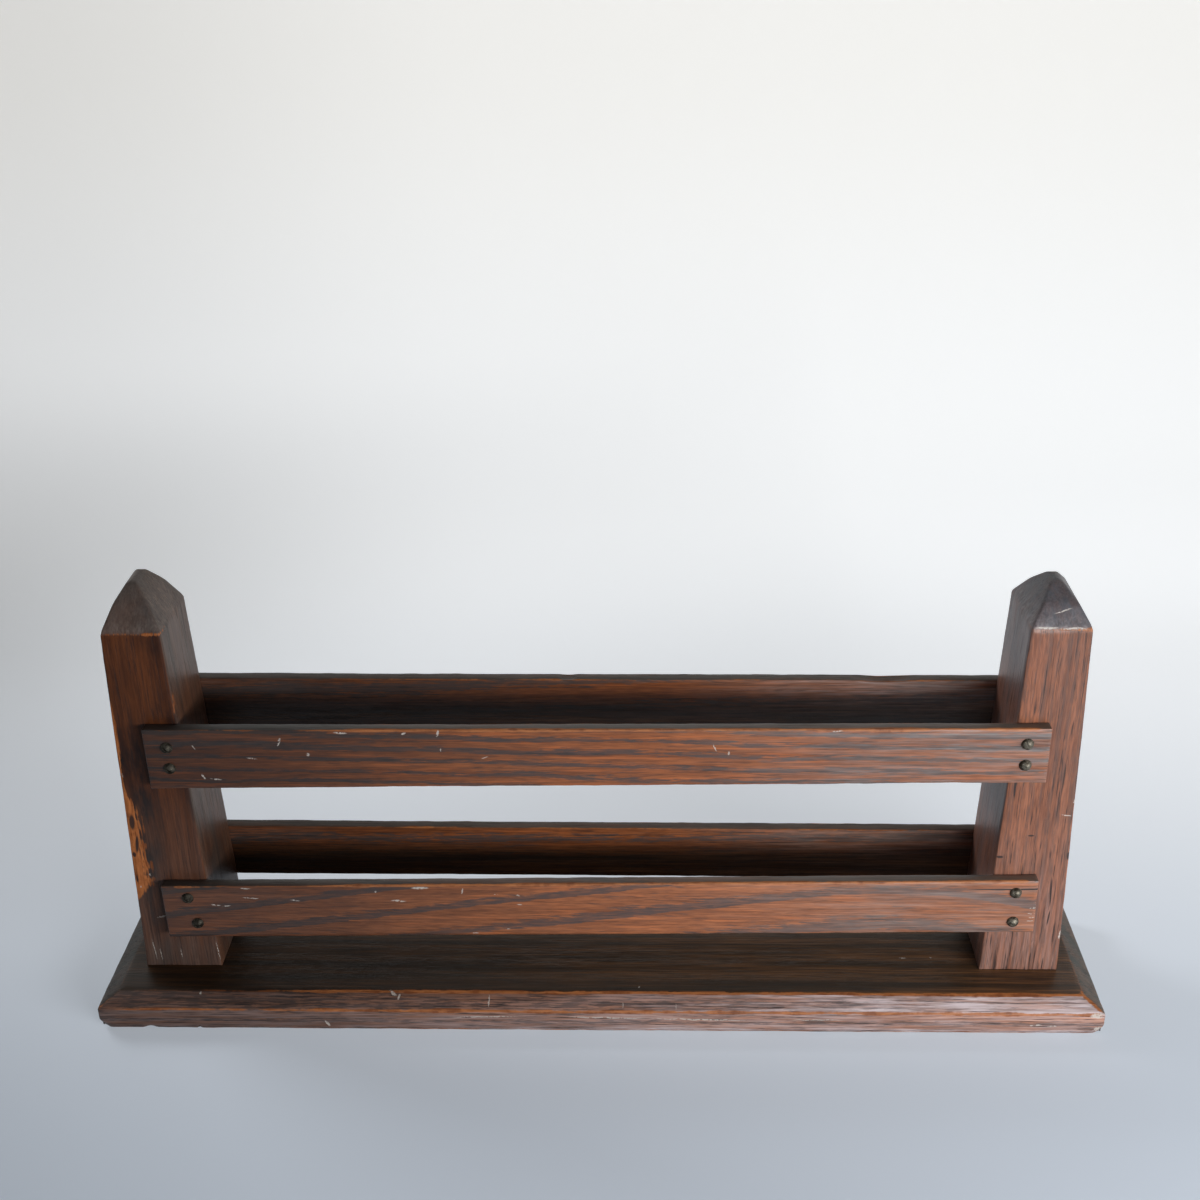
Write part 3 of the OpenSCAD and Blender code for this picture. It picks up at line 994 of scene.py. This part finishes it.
class BOOKSTAND_OT_base_board(bpy.types.Operator):
    """Makes the chamfered base board with its four countersunk screw holes"""

    bl_idname = "bookstand.base_board"
    bl_label = "Base Board"

    def execute(self, context):
        size = sizes()
        length, depth, thick = size.base
        side = thick - size.chamfer_drop
        board = start_block("base_board_oak", (length, depth, side), (0, 0, side / 2))
        choose(board, "faces", facing(2, 1))
        bpy.ops.mesh.inset(thickness=size.chamfer_run, depth=0)
        bpy.ops.transform.translate(value=(0, 0, size.chamfer_drop))
        lines = arrises(board)
        soften(size.arris)
        divide(board, running(0, 0.004), 18, 18)
        divide(board, running(1, 0.004), 54)
        divide(board, running(2, 0.004), 8)
        divide(board, sloping(0.004), 8)

        def strong(points):
            px, py, pz = points.T
            front = 1 - 0.45 * ramp(py, -0.03, 0.02)
            left = 0.85 + 0.15 * ramp(px, -0.22, -0.12)
            right = 1 - 0.30 * ramp(px, 0.248, 0.252)
            ends = 1 - 0.45 * ramp(np.abs(px), 0.2405, 0.2425) * ramp(py, -0.035, -0.029)
            corner = 1 - 0.22 * ramp(-px, 0.12, 0.19) * ramp(pz, 0.0145, 0.0160)
            return (1.22 + 0.10 * ramp(pz, 0.004, 0.008)) * front * left * right * ends * corner

        # The top is darker: darker wood, and painted shade where the rails shade it
        def deep(points, normals):
            return ramp(normals[:, 2], 0.93, 0.985)

        # The ends are grey: partly dust, partly painted sheen
        def dull(points, normals):
            return 0.9 * ramp(np.abs(normals[:, 0]), 0.2, 0.4)

        # The front edge is pale dried wood; on the chamfer the paleness that grows towards the right is
        # painted sheen
        def haze(points, normals):
            right = ramp(points[:, 0], -0.08, 0.22)
            edge = ramp(-normals[:, 1], 0.8, 0.95)
            chamfer = ramp(-normals[:, 1], 0.3, 0.4) * (1 - edge)
            foot = (1 - ramp(points[:, 2], 0.0010, 0.0046)) * ramp(points[:, 0], -0.16, 0.02)
            return edge * (0.48 + 0.06 * right + 0.60 * foot) + chamfer * (0.22 + 1.24 * right)

        def still(points, normals):
            return ramp(-normals[:, 2], 0.2, 0.6)

        front = -depth / 2
        dents = (
            ((-length / 2, front, 0.0), (0.006, 0.012, 0.006), 0.0020),
            ((-0.2270, front, 0.0), (0.004, 0.006, 0.003), 0.0009),
            ((-0.2015, front, 0.001), (0.0012, 0.003, 0.002), 0.0012),
            ((length / 2, front, 0.0), (0.006, 0.006, 0.006), 0.0016),
        )
        coats = {"deep": deep, "dull": dull, "haze": haze}
        age(board, lines, strong, coats, still, dents=dents)
        for _, end in POSTS:
            for _, back in ROWS:
                self.drill(board, base_screw_place(end, back))
        bpy.ops.object.mode_set(mode="EDIT")
        bpy.ops.mesh.select_all(action="SELECT")
        bpy.ops.mesh.remove_doubles(threshold=SLIVER)
        bpy.ops.object.mode_set(mode="OBJECT")
        wood = oak("base_oak", tuple(tones().base_tone), nicks=BASE_NICKS, **WOODS["base_board"])
        finish_piece(board, "base_board", wood)
        return {"FINISHED"}

    def drill(self, board, place):
        """Cuts one countersunk hole up through the board, a little wider than its screw."""
        size = sizes()
        wide, tall = size.sunk_head[0] / 2 + 0.0002, size.sunk_head[1]
        shank = size.sunk_shank[0] / 2 + 0.0001
        under, low, top = -0.001, BASE_SCREW_SINK, size.base[2] + 0.002
        outline = [(0.0, under), (wide, under), (wide, low)]
        outline += [(shank, low + tall), (shank, top), (0.0, top)]
        cutter = lathe("hole_cutter", outline, TURNED_STEPS)
        cutter.data.transform(Matrix.Translation(place))
        cut_away(board, cutter)


class BOOKSTAND_OT_posts(bpy.types.Operator):
    """Makes the two tapered posts with their hipped tops"""

    bl_idname = "bookstand.posts"
    bl_label = "Posts"

    def execute(self, context):
        for name, end in POSTS:
            self.make(name, end)
        return {"FINISHED"}

    def make(self, name, end):
        size = sizes()
        foot, ridge = size.post_foot, size.post_ridge
        tall = size.post_height + (size.right_eave_rise if end > 0 else 0.0)
        rise = size.roof_rise[1 if end > 0 else 0]
        eave = [f - (f - e) * tall / size.post_height for f, e in zip(foot, size.post_eave)]
        post = start_block(name + "_oak", (foot[0], foot[1], tall), (0, 0, tall / 2))
        choose(post, "faces", facing(2, 1))
        bpy.ops.transform.resize(value=(eave[0] / foot[0], eave[1] / foot[1], 1))
        bulge = (0.0166, 0.0280)  # width and depth of the hipped top at 0.6 of its height, where it swells
        bpy.ops.mesh.extrude_region_move(TRANSFORM_OT_translate={"value": (0, 0, rise * 0.6)})
        bpy.ops.transform.resize(value=(bulge[0] / eave[0], bulge[1] / eave[1], 1))
        bpy.ops.mesh.extrude_region_move(TRANSFORM_OT_translate={"value": (0, 0, rise * 0.4)})
        bpy.ops.transform.resize(value=(ridge[0] / bulge[0], ridge[1] / bulge[1], 1))
        if end > 0:
            # The right post's ridge starts further back
            choose(post, "verts", lambda v: v.co.z > tall + 0.015 and v.co.y < 0)
            bpy.ops.transform.translate(value=(0, 0.0055, 0))
        lines = arrises(post)
        self.round_edges(post, tall)
        divide(post, running(0, 0.0011, 0.95), 28)
        divide(post, running(1, 0.003, 0.95), 32)
        divide(post, running(2, 0.05), 13)
        divide(post, running(2, 0.008), 9)
        divide(post, sloping(0.0075), 9)

        def strong(points):
            _, py, pz = points.T
            eave = ramp(-np.abs(pz - tall), -0.0022, -0.0010) * (py < -0.012)
            hip = ramp(pz, tall + 0.0005, tall + 0.0020)
            lip = 0.46 if end > 0 else 0.26
            return (0.62 + lip * eave) * (1 - 0.75 * hip)

        def bare(points):
            """The strip rubbed bare on the left post's outer edge, and the patch by the upper rail."""
            px, py, pz = points.T
            half = (foot[0] + (eave[0] - foot[0]) * pz / tall) / 2
            edge = np.abs(px * end - half)
            spread = 0.0016 + 0.0060 * ramp(pz, 0.040, 0.054) * (1 - ramp(pz, 0.090, 0.108))
            reach = ramp(pz, 0.036, 0.046) * (1 - ramp(pz, 0.150, 0.172))
            behind = np.abs(py + (foot[1] + (eave[1] - foot[1]) * pz / tall) / 2)
            share = (1.65 - 0.7 * edge / spread - 0.28 * behind / 0.0010) * reach
            patch = 1.02 - 0.08 * (np.abs(px * end + half) + behind) / 0.0010
            patch = patch * ramp(pz, 0.144, 0.152) * (1 - ramp(pz, 0.160, 0.170))
            return np.maximum(share, patch) if end < 0 else 0.0 * share

        # The inner sides, most in the bays between the rails, the hips and the left post's lower front are
        # grey: partly dust, partly painted sheen of the pale wall
        def dull(points, normals):
            inner = ramp(-end * normals[:, 0], 0.5, 0.8)
            hip = ramp(points[:, 2], tall - 0.001, tall + 0.0015)
            bay = ramp(points[:, 2], 0.062, 0.100) * (1 - ramp(points[:, 2], 0.114, 0.118))
            bay = np.maximum(bay, ramp(points[:, 2], 0.146, 0.174))
            front = ramp(-normals[:, 1], 0.8, 0.95)
            foot = 0.45 - 0.25 * ramp(points[:, 2], 0.008, 0.024)
            foot = foot - 0.20 * ramp(points[:, 2], 0.080, 0.120)
            foot = front * foot * (0.0 if end > 0 else 1.0)
            inside = (0.35 + 0.45 * bay) if end > 0 else (0.24 + 0.40 * bay)
            warm = (0.0 if end > 0 else 0.20) * ramp(-normals[:, 1], 0.3, 0.5)
            return np.maximum(np.maximum(inside * inner, foot), (0.95 - warm) * hip)

        # The left post's inner side is made darker
        def deep(points, normals):
            inner = ramp(-end * normals[:, 0], 0.5, 0.8)
            return inner * (0.0 if end > 0 else 0.34)

        # Pale dried wood low on the front and on the hips, with painted sheen, most on the right post and
        # along its eave
        def haze(points, normals):
            front = ramp(-normals[:, 1], 0.8, 0.95)
            foot = 1 - ramp(points[:, 2], 0.010, 0.110)
            hip = ramp(points[:, 2], tall - 0.001, tall + 0.0015)
            low = 1 - ramp(points[:, 2], tall + 0.001, tall + 0.009)
            lower, upper, rim = (0.33, 0.06, 0.30) if end > 0 else (0.06, 0.05, 0.14)
            return front * foot * lower + hip * (upper + rim * low)

        def still(points, normals):
            under = ramp(-normals[:, 2], 0.2, 0.6)
            behind_rails = 0.6 * ramp(np.abs(normals[:, 1]), 0.7, 0.9)
            return np.maximum(under, behind_rails)

        age(post, lines, strong, {"dull": dull, "deep": deep, "haze": haze}, still, bare)
        place = Matrix.Translation((end * size.post_place[0], size.post_place[1], size.base[2]))
        if end < 0:
            tone, nicks, stains = tones().left_post_tone, LEFT_POST_NICKS, LEFT_POST_STAINS
        else:
            tone, nicks, stains = tones().right_post_tone, RIGHT_POST_NICKS, RIGHT_POST_SPLITS
        wood = oak(name + "_oak", tuple(tone), nicks=nicks, stains=stains, **WOODS[name])
        finish_piece(post, name, wood, place)

    def round_edges(self, post, tall):
        """Rounds the ridge most, then the hips, the long edges, the eaves and the foot."""

        def level(low, high):
            return lambda edge: all(low < v.co.z < high for v in edge.verts)

        for test, share in (
            (level(tall + 0.015, 1.0), 0.90),
            (level(tall + 0.008, tall + 0.013), 0.90),
            (sloping(0.0075), 0.45),
            (running(2, 0.1), 0.40),
            (level(tall - 0.001, tall + 0.001), 0.35),
            (level(-0.001, 0.001), 0.20),
        ):
            choose(post, "edges", test)
            bpy.ops.transform.edge_bevelweight(value=share)
        bpy.ops.object.mode_set(mode="OBJECT")
        round_off = post.modifiers.new("round_off", "BEVEL")
        round_off.width = 0.002
        round_off.segments = 3
        round_off.limit_method = "WEIGHT"
        round_off.use_clamp_overlap = False
        bpy.ops.object.modifier_apply(modifier=round_off.name)
        bpy.ops.object.mode_set(mode="EDIT")


def rail_measures(rail):
    """Half length of a rail, and the matrix that puts it on the posts."""
    size = sizes()
    middle = rail.low + size.rail_section[1] / 2
    taper = (size.post_foot[0] - size.post_eave[0]) * middle / size.post_height
    half = size.post_place[0] - (size.post_foot[0] - taper) / 2 + rail.lap
    lean = math.atan2((size.post_foot[1] - size.post_eave[1]) / 2, size.post_height)
    place = (
        Matrix.Translation((0, size.post_place[1] + rail.side * size.post_foot[1] / 2, size.base[2]))
        @ Matrix.Rotation(rail.side * lean, 4, "X")
        @ Matrix.Translation((0, 0, middle))
        @ Matrix.Rotation(math.radians(-rail.tilt), 4, "Y")
    )
    return half, place


class BOOKSTAND_OT_rails(bpy.types.Operator):
    """Makes the four rails that keep the books between them"""

    bl_idname = "bookstand.rails"
    bl_label = "Rails"

    def execute(self, context):
        for rail in RAILS:
            self.make(rail)
        return {"FINISHED"}

    def make(self, rail):
        size = sizes()
        name, side = rail.name, rail.side
        thick, tall = size.rail_section
        half, place = rail_measures(rail)
        board = start_block(name + "_oak", (2 * half, thick, tall), (0, side * thick / 2, 0))
        for _, sign in ENDS:
            choose(board, "verts", lambda vert: vert.co.x * sign > 0)
            bpy.ops.transform.resize(value=(1, 1, 1 - sign * rail.flare / tall / 2))
        lines = arrises(board)
        soften(size.arris * 0.8)
        divide(board, running(0, 0.004), 17, 17)
        divide(board, running(2, 0.004), 22)
        divide(board, running(1, 0.003), 3)

        def strong(points):
            px, py, pz = points.T
            top = ramp(pz, 0.0, 0.004)
            inside = np.where(py < (side - 1) * thick / 4, 1.0, 0.72)
            left = 0.66 + 0.34 * ramp(px, -0.16, -0.09)
            ends = 1 - 0.45 * ramp(np.abs(px), half - 0.008, half - 0.003)
            return (0.98 + 0.50 * top) * inside * left * ends

        # The tops are grey: partly dust, partly painted sheen of the pale wall
        def dull(points, normals):
            return 0.95 * ramp(normals[:, 2], 0.75, 0.92)

        # Towards the faces at the front, the right end gets paler and greyer, partly dried wood and partly
        # painted sheen; the smear high at the left end is grey dust
        def haze(points, normals):
            px, _, pz = points.T
            smear = 0.16 * ramp(pz, 0.004, 0.010) * (1 - ramp(px, -0.165, -0.135))
            return (0.54 * ramp(px, 0.02, 0.16) + smear) * ramp(-normals[:, 1], 0.7, 0.9)

        # Painted shade low on the side that faces the other rail, where the rails shade each other
        def deep(points, normals):
            inner = ramp(-side * normals[:, 1], 0.5, 0.9)
            return 0.85 * inner * (1 - ramp(points[:, 2], -0.004, 0.010))

        def still(points, normals):
            return ramp(-side * normals[:, 1], 0.5, 0.9)

        dents = ()
        if name == "back_upper_rail":
            dents = (
                ((-0.0140, 0.003, tall / 2), (0.006, 0.006, 0.0016), 0.0009),
                ((0.1440, 0.003, tall / 2), (0.020, 0.006, 0.0020), 0.0012),
            )
        coats = {"dull": dull, "haze": haze, "deep": deep}
        age(board, lines, strong, coats, still, dents=dents)
        finish_piece(board, name, self.wood(name), place)

    def wood(self, name):
        tone = tuple(tones().rail_tone)
        nicks, stains = (), ()
        if name == "front_upper_rail":
            nicks = UPPER_NICKS
        elif name == "front_lower_rail":
            tone, nicks, stains = shade_of(tone, 1.26, 1.38, 1.70), LOWER_NICKS, LOWER_SPLITS
        else:
            tone = shade_of(tone, 0.76, 0.78, 0.85)
        return oak(name + "_oak", tone, nicks=nicks, stains=stains, **WOODS[name])


def lathe(name, outline, steps):
    """Turns an outline of (radius, height) points round the Z axis into a closed piece."""
    piece = start(name, bpy.ops.mesh.primitive_plane_add, size=0.0001)
    bpy.ops.mesh.select_mode(type="VERT")
    bpy.ops.mesh.select_all(action="SELECT")
    bpy.ops.mesh.merge(type="CENTER")
    bpy.ops.transform.translate(value=(outline[0][0], 0, outline[0][1]))
    for before, after in zip(outline, outline[1:]):
        step = (after[0] - before[0], 0, after[1] - before[1])
        bpy.ops.mesh.extrude_region_move(TRANSFORM_OT_translate={"value": step})
    bpy.ops.mesh.select_all(action="SELECT")
    bpy.ops.mesh.spin(steps=steps, angle=2 * math.pi, center=(0, 0, 0), axis=(0, 0, 1))
    bpy.ops.mesh.select_all(action="SELECT")
    bpy.ops.mesh.remove_doubles(threshold=TURNED_SLIVER)
    bpy.ops.mesh.normals_make_consistent(inside=False)
    bpy.ops.object.mode_set(mode="OBJECT")
    return piece


def cut_slot(screw, face, head):
    """Cuts a screwdriver slot across a head of that radius, and rounds the edges slightly."""
    width, depth = sizes().slot
    spare = 0.001
    middle = (0, 0, face + depth / 2 - spare / 2)
    cutter = start_block("slot_cutter", (2.4 * head, width, depth + spare), middle)
    bpy.ops.object.mode_set(mode="OBJECT")
    cut_away(screw, cutter)
    rim = screw.modifiers.new("rim", "BEVEL")
    rim.width = 0.00012
    rim.segments = 2
    rim.limit_method = "ANGLE"
    rim.angle_limit = math.radians(50)
    bpy.ops.object.modifier_apply(modifier=rim.name)
    only(screw)
    bpy.ops.object.shade_smooth_by_angle(angle=math.radians(38))


def thread(shank, length, begin, pitch, tip):
    """The outline of a threaded shank with a tapered point."""
    outline = []
    at = begin
    while at < length - 0.001:
        share = 1.0 if at < length - tip else 0.25 + 0.75 * (length - at) / tip
        outline.append((shank * 0.76 * share, at))
        outline.append((shank * share, at + pitch / 2))
        at += pitch
    outline.append((0.0, length))
    return outline


def copy_of(model, name):
    """Copies a screw, with a mesh of its own."""
    only(model)
    bpy.ops.object.duplicate(linked=False)
    screw = bpy.context.object
    screw.name = name
    screw.data.name = name
    return screw


class BOOKSTAND_OT_rail_screws(bpy.types.Operator):
    """Makes one round-headed screw and copies it to the ends of the rails"""

    bl_idname = "bookstand.rail_screws"
    bl_label = "Rail Screws"

    def execute(self, context):
        size = sizes()
        wide, tall = size.screw_head[0] / 2, size.screw_head[1]
        ball = (wide ** 2 + tall ** 2) / (2 * tall)
        outline = [(0.0, -tall)]
        turn = math.asin(wide / ball)
        steps = 10
        for step in range(1, steps + 1):
            angle = turn * step / steps
            outline.append((ball * math.sin(angle), ball * (1 - math.cos(angle)) - tall))
        shank, long = size.screw_shank[0] / 2, size.screw_shank[1]
        outline += [(wide * 0.97, 0.0002), (shank, 0.0002), (shank, long * 0.35)]
        outline += thread(shank, long, long * 0.36, 0.0014, 0.005)
        model = lathe("rail_screw_model", outline, TURNED_STEPS)
        cut_slot(model, -tall, wide)
        metal = aged_metal("rail_screw_metal", 0.0)
        for rail in RAILS:
            self.place(rail, model, metal)
        bpy.data.objects.remove(model, do_unlink=True)
        return {"FINISHED"}

    def place(self, rail, model, metal):
        size = sizes()
        thick, tall = size.rail_section
        side = rail.side
        half, seat = rail_measures(rail)
        middle = (rail.low + tall / 2) * 1000
        for end, sign in ENDS:
            for level, lift in LEVELS:
                node = f"{rail.name}_screw_{end}_{level}"
                screw = copy_of(model, node + "_metal")
                turn = SLOT_TURN * (side + 2 * sign + 4 * lift + middle)
                inward, upward = ODD_SCREWS.get(node, (0.0, 0.0))
                edge = rail.above_high if lift > 0 else rail.below_low
                along = sign * (half - RAIL_SCREW_INSET - inward)
                place = (
                    seat
                    @ Matrix.Translation((along, side * thick, lift * (tall / 2 - edge) + upward))
                    @ Matrix.Rotation(side * math.pi / 2, 4, "X")
                    @ Matrix.Rotation(math.radians(-side * turn), 4, "Z")
                )
                finish_piece(screw, node, metal, place)


class BOOKSTAND_OT_base_screws(bpy.types.Operator):
    """Makes one countersunk screw and copies it to the four holes under the posts"""

    bl_idname = "bookstand.base_screws"
    bl_label = "Base Screws"

    def execute(self, context):
        size = sizes()
        wide, tall = size.sunk_head[0] / 2, size.sunk_head[1]
        shank, long = size.sunk_shank[0] / 2, size.sunk_shank[1]
        outline = [(0.0, 0.0), (wide * 0.5, 0.0), (wide * 0.97, 0.0), (wide, 0.00015)]
        outline += [(shank, tall), (shank, long * 0.4)]
        outline += thread(shank, long, long * 0.41, 0.0018, 0.005)
        model = lathe("base_screw_model", outline, TURNED_STEPS)
        cut_slot(model, 0.0, wide)
        metal = aged_metal("base_screw_steel", 7.0)
        for post, end in POSTS:
            for row, back in ROWS:
                node = f"{post}_screw_{row}"
                screw = copy_of(model, node + "_steel")
                spot = base_screw_place(end, back) + Vector((0.0, 0.0, BASE_SCREW_SINK))
                turn = math.radians(SLOT_TURN * (end + 2 * back))
                place = Matrix.Translation(spot) @ Matrix.Rotation(turn, 4, "Z")
                finish_piece(screw, node, metal, place)
        bpy.data.objects.remove(model, do_unlink=True)
        return {"FINISHED"}


class BOOKSTAND_OT_stage(bpy.types.Operator):
    """Makes the pale floor and wall, the soft lights and the camera"""

    bl_idname = "bookstand.stage"
    bl_label = "Stage"

    def execute(self, context):
        scene = context.scene
        scene.view_settings.view_transform = "Standard"
        self.sweep()
        self.lights(scene)
        self.camera(scene)
        return {"FINISHED"}

    def sweep(self):
        look = tones()
        floor = start("floor_and_wall", bpy.ops.mesh.primitive_plane_add, size=6, location=(0, -2.1, 0))
        choose(floor, "edges", lambda edge: min(v.co.y for v in edge.verts) > 0.8)
        bpy.ops.mesh.extrude_region_move(TRANSFORM_OT_translate={"value": (0, 0, 3.2)})
        choose(floor, "edges", lambda e: all(v.co.y > 0.8 and v.co.z < 0.1 for v in e.verts))
        bpy.ops.mesh.bevel(offset=0.55, segments=24, profile=0.5, affect="EDGES")
        bpy.ops.object.mode_set(mode="OBJECT")
        bpy.ops.object.shade_smooth()
        material, tools = blank_material("pale_sweep")
        place = tools.node("ShaderNodeTexCoord", None, None, 3)
        back = place.part(2) + place.part(1) * 0.45
        tone = tools.blend(look.floor_tone, look.wall_tone, back.between(-0.05, 0.40))
        glow = tools.blend(look.floor_glow, look.wall_glow, back.between(-0.12, 0.28))
        glow = tools.blend(glow, shade_of(look.wall_glow, 0.95, 0.92, 0.87), back.between(0.35, 0.80))
        # The glow has painted shade low at the left and painted light low at the right, and far off it fades
        # to one tone
        aside, ahead = place.math("ABSOLUTE", place.part(0)), -1.0 * place.part(1)
        far = place.math("MAXIMUM", aside.between(0.6, 1.0), ahead.between(0.25, 0.65))
        last = place.math("MAXIMUM", aside.between(0.9, 2.6), ahead.between(0.9, 3.5))
        left = 0.82 + place.math("MAXIMUM", place.part(0).between(-0.6, -0.1), last) * 0.18
        dusk = (1.0 - place.part(0).between(-0.45, -0.05)) * back.between(-0.03, 0.17)
        dusk = dusk * (1.0 - back.between(0.19, 0.42))
        dawn = place.part(0).between(0.10, 0.40) * back.between(-0.04, 0.16)
        dawn = dawn * (1.0 - back.between(0.20, 0.31))
        glow = tools.blend(glow, (0.80, 0.81, 0.82), dawn * 0.34)
        shown = self.shown(tools) * left * (1.0 - dusk * 0.24)
        camera = tools.node("ShaderNodeLightPath", None, None, 0)
        glow = tools.blend(glow, (0.46, 0.48, 0.52), far * camera)
        glow = tools.blend(glow, (0.70, 0.72, 0.74), last * camera)
        bright = tools.node("ShaderNodeEmission", None, {"Color": tools.blend((0, 0, 0), glow, shown)})
        plain = tools.node("ShaderNodeBsdfDiffuse", None, {"Color": tone})
        solid = tools.node("ShaderNodeAddShader", None, {0: plain, 1: bright})
        # From below the stage is clear, so that the underside can be looked at
        below = tools.node("ShaderNodeNewGeometry", None, None, 6)
        clear = tools.node("ShaderNodeBsdfTransparent")
        surface(tools, tools.node("ShaderNodeMixShader", None, {0: below, 1: solid, 2: clear}))
        floor.data.materials.append(material)

    def shown(self, tools):
        """1 where the camera, a reflection or glass looks at the stage, 0 where it would light the object."""
        looks = [tools.node("ShaderNodeLightPath", None, None, out) for out in (0, 3, 6)]
        return (looks[0] + looks[1] + looks[2]).clip()

    def lights(self, scene):
        stage = scene.book_stand_stage
        world = bpy.data.worlds.new("room")
        world.use_nodes = True
        world.node_tree.nodes.clear()
        tools = Wire(world.node_tree)
        pale = (0.80, 0.82, 0.84, 1.0)
        soft = tools.node("ShaderNodeBackground", None, {"Color": pale, "Strength": stage.sky})
        dim = tools.node("ShaderNodeBackground", None, {"Color": pale, "Strength": 0.45})
        seen = tools.node("ShaderNodeBackground", None, {"Color": pale, "Strength": 0.9})
        camera = tools.node("ShaderNodeLightPath", None, None, 0)
        room = tools.node("ShaderNodeMixShader", None, {0: self.shown(tools), 1: soft, 2: dim})
        room = tools.node("ShaderNodeMixShader", None, {0: camera, 1: room, 2: seen})
        tools.node("ShaderNodeOutputWorld", None, {"Surface": room})
        scene.world = world
        self.lamp("key_light", (0.575, -0.68, 0.285), (0.75, 0.15), 180, stage.key_power)
        fill = self.lamp("back_light", (-0.75, 0.45, 0.45), (0.4, 0.3), 60, stage.back_power)
        fill.visible_glossy = False

    def lamp(self, name, place, size, spread, power):
        """Adds a soft lamp that looks at the stand, with its spread in degrees."""
        bpy.ops.object.select_all(action="DESELECT")
        bpy.ops.object.light_add(type="AREA", location=place)
        lamp = bpy.context.object
        lamp.name = name
        lamp.data.shape = "RECTANGLE"
        lamp.data.size, lamp.data.size_y = size
        lamp.data.spread = math.radians(spread)
        lamp.data.energy = power
        lamp.visible_camera = False
        way = Vector(LAMP_AIM) - Vector(place)
        lamp.rotation_euler = way.to_track_quat("-Z", "Y").to_euler()
        return lamp

    def camera(self, scene):
        stage = scene.book_stand_stage
        bpy.ops.object.select_all(action="DESELECT")
        bpy.ops.object.camera_add(location=stage.eye)
        camera = bpy.context.object
        camera.name = "photo_camera"
        forward = Vector(
            (
                math.sin(stage.yaw) * math.cos(stage.pitch),
                math.cos(stage.yaw) * math.cos(stage.pitch),
                -math.sin(stage.pitch),
            )
        )
        right = Vector((math.cos(stage.yaw), -math.sin(stage.yaw), 0))
        up = right.cross(forward)
        leaned = right * math.cos(stage.roll) + up * math.sin(stage.roll)
        above = up * math.cos(stage.roll) - right * math.sin(stage.roll)
        turn = Matrix((leaned, above, -forward)).transposed()
        camera.rotation_euler = turn.to_euler()
        camera.data.lens = stage.lens
        camera.data.sensor_width = 36.0
        camera.data.clip_start = 0.01
        camera.data.clip_end = 20.0
        scene.camera = camera


class BOOKSTAND_PT_panel(bpy.types.Panel):
    """Lists the pieces of the book stand in the order they are made"""

    bl_idname = "BOOKSTAND_PT_panel"
    bl_label = "Book Stand"
    bl_space_type = "VIEW_3D"
    bl_region_type = "UI"
    bl_category = "Book Stand"

    def draw(self, context):
        layout = self.layout
        for step in STEPS:
            layout.operator(step.bl_idname)
        for group in ("book_stand_sizes", "book_stand_finish", "book_stand_stage"):
            values = getattr(context.scene, group)
            box = layout.box()
            for name in values.__annotations__:
                box.prop(values, name)


STEPS = (
    BOOKSTAND_OT_stage,
    BOOKSTAND_OT_base_board,
    BOOKSTAND_OT_posts,
    BOOKSTAND_OT_rails,
    BOOKSTAND_OT_rail_screws,
    BOOKSTAND_OT_base_screws,
)
GROUPS = (BookStandSizes, BookStandFinish, BookStandStage)


def register():
    for item in (*GROUPS, *STEPS, BOOKSTAND_PT_panel):
        bpy.utils.register_class(item)
    bpy.types.Scene.book_stand_sizes = PointerProperty(type=BookStandSizes)
    bpy.types.Scene.book_stand_finish = PointerProperty(type=BookStandFinish)
    bpy.types.Scene.book_stand_stage = PointerProperty(type=BookStandStage)


def unregister():
    del bpy.types.Scene.book_stand_sizes
    del bpy.types.Scene.book_stand_finish
    del bpy.types.Scene.book_stand_stage
    for item in reversed((*GROUPS, *STEPS, BOOKSTAND_PT_panel)):
        bpy.utils.unregister_class(item)


def main():
    register()
    bpy.ops.bookstand.stage()
    bpy.ops.bookstand.base_board()
    bpy.ops.bookstand.posts()
    bpy.ops.bookstand.rails()
    bpy.ops.bookstand.rail_screws()
    bpy.ops.bookstand.base_screws()


if __name__ == "__main__":
    main()
